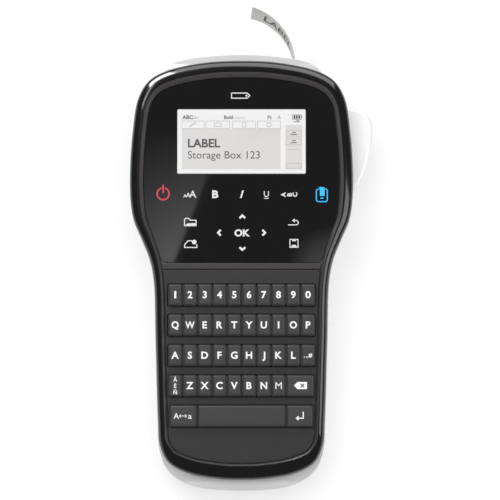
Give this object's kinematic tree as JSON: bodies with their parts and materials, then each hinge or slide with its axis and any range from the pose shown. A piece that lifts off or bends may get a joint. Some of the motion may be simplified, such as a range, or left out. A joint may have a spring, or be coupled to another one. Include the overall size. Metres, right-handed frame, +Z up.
{
  "type": "handheld label maker",
  "caption": "Handheld label maker with a display, letter keys, a side cutter lever, hinged rear covers and a tape printing mechanism in a wide head above a slim handle.",
  "frame": {"origin": "centre of the bounding box on the ground, lever and label strip included", "axes": "+X toward the cutter lever, +Y from the handle to the label exit, +Z up from the ground; the front face leans 7 degrees from level"},
  "size_m": [0.1128, 0.2256, 0.0502],
  "materials": {
    "bezel_gloss": "glossy black moulding",
    "overlay_gloss": "high gloss printed sheet",
    "display": "smooth display glass over a light grey field",
    "keypad_matte": "fine matte texture",
    "key_plastic": "satin with printed white legends",
    "membrane_rubber": "moulded silicone",
    "board": "solder-masked laminate",
    "shell_silver": "silver metallic satin",
    "lever_silver": "light silver satin",
    "battery_wrap": "printed shrink wrap",
    "cassette_plastic": "smoked plastic",
    "head_steel": "plated",
    "motor_steel": "plated can",
    "blade_steel": "ground edge",
    "roller_rubber": "ground rubber",
    "gear_nylon": "natural nylon",
    "label_paper": "off-white label film with black print"
  },
  "bodies": {
    "case": {"front_bezel": "bezel_gloss", "display_overlay": "overlay_gloss", "display_module": "display", "keypad_panel": "keypad_matte", "key_membrane": "membrane_rubber", "main_board": "board", "rear_housing": "shell_silver", "battery_pack": "battery_wrap", "label_cassette": "cassette_plastic", "print_head": "head_steel", "drive_motor": "motor_steel"},
    "cassette_door": {"cassette_door": "shell_silver"},
    "battery_cover": {"battery_cover": "shell_silver"},
    "cutter_lever": {"cutter_lever": "lever_silver"},
    "cutter_blade": {"cutter_blade": "blade_steel"},
    "platen_roller": {"platen_roller": "roller_rubber"},
    "drive_gear": {"drive_gear": "gear_nylon"},
    "label_tape": {"label_tape": "label_paper"},
    "key_1": {"key_1": "key_plastic"},
    "key_2": {"key_2": "key_plastic"},
    "key_3": {"key_3": "key_plastic"},
    "key_4": {"key_4": "key_plastic"},
    "key_5": {"key_5": "key_plastic"},
    "key_6": {"key_6": "key_plastic"},
    "key_7": {"key_7": "key_plastic"},
    "key_8": {"key_8": "key_plastic"},
    "key_9": {"key_9": "key_plastic"},
    "key_0": {"key_0": "key_plastic"},
    "key_q": {"key_q": "key_plastic"},
    "key_w": {"key_w": "key_plastic"},
    "key_e": {"key_e": "key_plastic"},
    "key_r": {"key_r": "key_plastic"},
    "key_t": {"key_t": "key_plastic"},
    "key_y": {"key_y": "key_plastic"},
    "key_u": {"key_u": "key_plastic"},
    "key_i": {"key_i": "key_plastic"},
    "key_o": {"key_o": "key_plastic"},
    "key_p": {"key_p": "key_plastic"},
    "key_a": {"key_a": "key_plastic"},
    "key_s": {"key_s": "key_plastic"},
    "key_d": {"key_d": "key_plastic"},
    "key_f": {"key_f": "key_plastic"},
    "key_g": {"key_g": "key_plastic"},
    "key_h": {"key_h": "key_plastic"},
    "key_j": {"key_j": "key_plastic"},
    "key_k": {"key_k": "key_plastic"},
    "key_l": {"key_l": "key_plastic"},
    "key_comma": {"key_comma": "key_plastic"},
    "key_accent": {"key_accent": "key_plastic"},
    "key_z": {"key_z": "key_plastic"},
    "key_x": {"key_x": "key_plastic"},
    "key_c": {"key_c": "key_plastic"},
    "key_v": {"key_v": "key_plastic"},
    "key_b": {"key_b": "key_plastic"},
    "key_n": {"key_n": "key_plastic"},
    "key_m": {"key_m": "key_plastic"},
    "key_backspace": {"key_backspace": "key_plastic"},
    "key_caps": {"key_caps": "key_plastic"},
    "key_space": {"key_space": "key_plastic"},
    "key_return": {"key_return": "key_plastic"}
  },
  "joints": [
    {"name": "blade_slide", "type": "slide", "parent": "case", "child": "cutter_blade", "axis": [-1, 0, 0], "range_m": [0, 0.005]},
    {"name": "lever_press", "type": "hinge", "parent": "case", "child": "cutter_lever", "pos_m": [0.04118, 0.02943, 0.02094], "axis": [0, -0.1219, 0.9925], "range_deg": [0, 14], "stiffness_Nm_per_rad": 0.5},
    {"name": "label_feed", "type": "slide", "parent": "case", "child": "label_tape", "axis": [0, 0.9925, 0.1219], "range_m": [0, 0.012]},
    {"name": "platen_turn", "type": "hinge", "parent": "case", "child": "platen_roller", "pos_m": [0.02448, 0.04928, 0.02337], "axis": [0, 0.1219, -0.9925], "range_deg": [0, 172]},
    {"name": "drive_turn", "type": "hinge", "parent": "case", "child": "drive_gear", "pos_m": [0.02797, 0.03512, 0.03171], "axis": [0, 0.1219, -0.9925], "range_deg": [-344, 0]},
    {"name": "cassette_door_hinge", "type": "hinge", "parent": "case", "child": "cassette_door", "pos_m": [-0.00482, 0.0703, 0.0021], "axis": [1, 0, 0], "range_deg": [0, 100]},
    {"name": "battery_cover_hinge", "type": "hinge", "parent": "case", "child": "battery_cover", "pos_m": [-0.00482, -0.08192, 0.00475], "axis": [-1, 0, 0], "range_deg": [0, 100]},
    {"name": "key_1_press", "type": "slide", "parent": "case", "child": "key_1", "axis": [0, 0.1219, -0.9925], "range_m": [0, 0.0008], "stiffness_N_per_m": 500},
    {"name": "key_2_press", "type": "slide", "parent": "case", "child": "key_2", "axis": [0, 0.1219, -0.9925], "range_m": [0, 0.0008], "stiffness_N_per_m": 500},
    {"name": "key_3_press", "type": "slide", "parent": "case", "child": "key_3", "axis": [0, 0.1219, -0.9925], "range_m": [0, 0.0008], "stiffness_N_per_m": 500},
    {"name": "key_4_press", "type": "slide", "parent": "case", "child": "key_4", "axis": [0, 0.1219, -0.9925], "range_m": [0, 0.0008], "stiffness_N_per_m": 500},
    {"name": "key_5_press", "type": "slide", "parent": "case", "child": "key_5", "axis": [0, 0.1219, -0.9925], "range_m": [0, 0.0008], "stiffness_N_per_m": 500},
    {"name": "key_6_press", "type": "slide", "parent": "case", "child": "key_6", "axis": [0, 0.1219, -0.9925], "range_m": [0, 0.0008], "stiffness_N_per_m": 500},
    {"name": "key_7_press", "type": "slide", "parent": "case", "child": "key_7", "axis": [0, 0.1219, -0.9925], "range_m": [0, 0.0008], "stiffness_N_per_m": 500},
    {"name": "key_8_press", "type": "slide", "parent": "case", "child": "key_8", "axis": [0, 0.1219, -0.9925], "range_m": [0, 0.0008], "stiffness_N_per_m": 500},
    {"name": "key_9_press", "type": "slide", "parent": "case", "child": "key_9", "axis": [0, 0.1219, -0.9925], "range_m": [0, 0.0008], "stiffness_N_per_m": 500},
    {"name": "key_0_press", "type": "slide", "parent": "case", "child": "key_0", "axis": [0, 0.1219, -0.9925], "range_m": [0, 0.0008], "stiffness_N_per_m": 500},
    {"name": "key_q_press", "type": "slide", "parent": "case", "child": "key_q", "axis": [0, 0.1219, -0.9925], "range_m": [0, 0.0008], "stiffness_N_per_m": 500},
    {"name": "key_w_press", "type": "slide", "parent": "case", "child": "key_w", "axis": [0, 0.1219, -0.9925], "range_m": [0, 0.0008], "stiffness_N_per_m": 500},
    {"name": "key_e_press", "type": "slide", "parent": "case", "child": "key_e", "axis": [0, 0.1219, -0.9925], "range_m": [0, 0.0008], "stiffness_N_per_m": 500},
    {"name": "key_r_press", "type": "slide", "parent": "case", "child": "key_r", "axis": [0, 0.1219, -0.9925], "range_m": [0, 0.0008], "stiffness_N_per_m": 500},
    {"name": "key_t_press", "type": "slide", "parent": "case", "child": "key_t", "axis": [0, 0.1219, -0.9925], "range_m": [0, 0.0008], "stiffness_N_per_m": 500},
    {"name": "key_y_press", "type": "slide", "parent": "case", "child": "key_y", "axis": [0, 0.1219, -0.9925], "range_m": [0, 0.0008], "stiffness_N_per_m": 500},
    {"name": "key_u_press", "type": "slide", "parent": "case", "child": "key_u", "axis": [0, 0.1219, -0.9925], "range_m": [0, 0.0008], "stiffness_N_per_m": 500},
    {"name": "key_i_press", "type": "slide", "parent": "case", "child": "key_i", "axis": [0, 0.1219, -0.9925], "range_m": [0, 0.0008], "stiffness_N_per_m": 500},
    {"name": "key_o_press", "type": "slide", "parent": "case", "child": "key_o", "axis": [0, 0.1219, -0.9925], "range_m": [0, 0.0008], "stiffness_N_per_m": 500},
    {"name": "key_p_press", "type": "slide", "parent": "case", "child": "key_p", "axis": [0, 0.1219, -0.9925], "range_m": [0, 0.0008], "stiffness_N_per_m": 500},
    {"name": "key_a_press", "type": "slide", "parent": "case", "child": "key_a", "axis": [0, 0.1219, -0.9925], "range_m": [0, 0.0008], "stiffness_N_per_m": 500},
    {"name": "key_s_press", "type": "slide", "parent": "case", "child": "key_s", "axis": [0, 0.1219, -0.9925], "range_m": [0, 0.0008], "stiffness_N_per_m": 500},
    {"name": "key_d_press", "type": "slide", "parent": "case", "child": "key_d", "axis": [0, 0.1219, -0.9925], "range_m": [0, 0.0008], "stiffness_N_per_m": 500},
    {"name": "key_f_press", "type": "slide", "parent": "case", "child": "key_f", "axis": [0, 0.1219, -0.9925], "range_m": [0, 0.0008], "stiffness_N_per_m": 500},
    {"name": "key_g_press", "type": "slide", "parent": "case", "child": "key_g", "axis": [0, 0.1219, -0.9925], "range_m": [0, 0.0008], "stiffness_N_per_m": 500},
    {"name": "key_h_press", "type": "slide", "parent": "case", "child": "key_h", "axis": [0, 0.1219, -0.9925], "range_m": [0, 0.0008], "stiffness_N_per_m": 500},
    {"name": "key_j_press", "type": "slide", "parent": "case", "child": "key_j", "axis": [0, 0.1219, -0.9925], "range_m": [0, 0.0008], "stiffness_N_per_m": 500},
    {"name": "key_k_press", "type": "slide", "parent": "case", "child": "key_k", "axis": [0, 0.1219, -0.9925], "range_m": [0, 0.0008], "stiffness_N_per_m": 500},
    {"name": "key_l_press", "type": "slide", "parent": "case", "child": "key_l", "axis": [0, 0.1219, -0.9925], "range_m": [0, 0.0008], "stiffness_N_per_m": 500},
    {"name": "key_comma_press", "type": "slide", "parent": "case", "child": "key_comma", "axis": [0, 0.1219, -0.9925], "range_m": [0, 0.0008], "stiffness_N_per_m": 500},
    {"name": "key_accent_press", "type": "slide", "parent": "case", "child": "key_accent", "axis": [0, 0.1219, -0.9925], "range_m": [0, 0.0008], "stiffness_N_per_m": 500},
    {"name": "key_z_press", "type": "slide", "parent": "case", "child": "key_z", "axis": [0, 0.1219, -0.9925], "range_m": [0, 0.0008], "stiffness_N_per_m": 500},
    {"name": "key_x_press", "type": "slide", "parent": "case", "child": "key_x", "axis": [0, 0.1219, -0.9925], "range_m": [0, 0.0008], "stiffness_N_per_m": 500},
    {"name": "key_c_press", "type": "slide", "parent": "case", "child": "key_c", "axis": [0, 0.1219, -0.9925], "range_m": [0, 0.0008], "stiffness_N_per_m": 500},
    {"name": "key_v_press", "type": "slide", "parent": "case", "child": "key_v", "axis": [0, 0.1219, -0.9925], "range_m": [0, 0.0008], "stiffness_N_per_m": 500},
    {"name": "key_b_press", "type": "slide", "parent": "case", "child": "key_b", "axis": [0, 0.1219, -0.9925], "range_m": [0, 0.0008], "stiffness_N_per_m": 500},
    {"name": "key_n_press", "type": "slide", "parent": "case", "child": "key_n", "axis": [0, 0.1219, -0.9925], "range_m": [0, 0.0008], "stiffness_N_per_m": 500},
    {"name": "key_m_press", "type": "slide", "parent": "case", "child": "key_m", "axis": [0, 0.1219, -0.9925], "range_m": [0, 0.0008], "stiffness_N_per_m": 500},
    {"name": "key_backspace_press", "type": "slide", "parent": "case", "child": "key_backspace", "axis": [0, 0.1219, -0.9925], "range_m": [0, 0.0008], "stiffness_N_per_m": 500},
    {"name": "key_caps_press", "type": "slide", "parent": "case", "child": "key_caps", "axis": [0, 0.1219, -0.9925], "range_m": [0, 0.0008], "stiffness_N_per_m": 500},
    {"name": "key_space_press", "type": "slide", "parent": "case", "child": "key_space", "axis": [0, 0.1219, -0.9925], "range_m": [0, 0.0008], "stiffness_N_per_m": 500},
    {"name": "key_return_press", "type": "slide", "parent": "case", "child": "key_return", "axis": [0, 0.1219, -0.9925], "range_m": [0, 0.0008], "stiffness_N_per_m": 500}
  ],
  "couplings": [
    {"joint": "lever_press", "follows": "blade_slide", "rad_per_m": 48.8},
    {"joint": "platen_turn", "follows": "label_feed", "rad_per_m": 250},
    {"joint": "drive_turn", "follows": "label_feed", "rad_per_m": -500}
  ]
}
